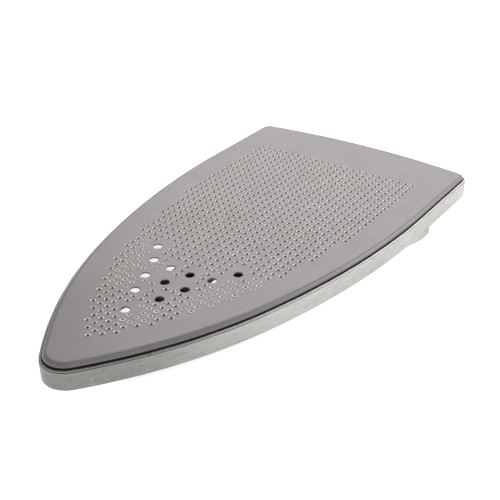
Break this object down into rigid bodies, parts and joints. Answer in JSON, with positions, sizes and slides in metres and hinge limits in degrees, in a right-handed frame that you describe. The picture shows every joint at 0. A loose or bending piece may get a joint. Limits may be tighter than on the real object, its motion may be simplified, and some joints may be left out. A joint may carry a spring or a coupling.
{
  "type": "iron shoe",
  "caption": "Slip-on non-stick pressing sole for a steam iron: perforated sole plate in a brushed frame with a toe pocket and a hinged heel bail that locks it on.",
  "frame": {"origin": "centre of the bounding box seen from above, at the lowest point of the side ears", "axes": "+Z out of the pressing face (the shoe lies sole up), +Y from the toe to the heel, +X across"},
  "size_m": [0.1174, 0.2279, 0.0134],
  "materials": {
    "sole": "satin lilac-grey non-stick coating on aluminium",
    "frame": "lengthwise brushed",
    "seal": "black heat-resistant silicone",
    "carrier": "black heat-resistant enamel",
    "bright_alu": "machined",
    "spring_steel": "spring steel",
    "steel": "plain",
    "brass": "nickel-free brass",
    "silicone": "dark grey silicone"
  },
  "bodies": {
    "shoe": {"sole_plate": "sole", "gap_seal": "seal", "frame_ring": "frame", "carrier_plate": "carrier", "spacer_bushes": "bright_alu", "sole_rivets": "bright_alu", "toe_block": "bright_alu", "toe_clip": "spring_steel", "toe_rivets": "steel", "pivot_block_left": "bright_alu", "pivot_block_right": "bright_alu", "side_pad_left": "silicone", "side_pad_right": "silicone", "heel_pad": "silicone"},
    "bail": {"bail_wire": "spring_steel", "washer_left": "brass", "washer_right": "brass", "collar_left": "brass", "collar_right": "brass"},
    "sleeve": {"bail_sleeve": "silicone"}
  },
  "joints": [
    {"name": "heel_bail", "type": "hinge", "parent": "shoe", "child": "bail", "pos_m": [0, 0.0515, 0.002], "axis": [1, 0, 0], "range_deg": [-110, 0]},
    {"name": "sleeve_roll", "type": "hinge", "parent": "bail", "child": "sleeve", "pos_m": [0, 0.11325, 0.002], "axis": [1, 0, 0], "continuous": true}
  ]
}
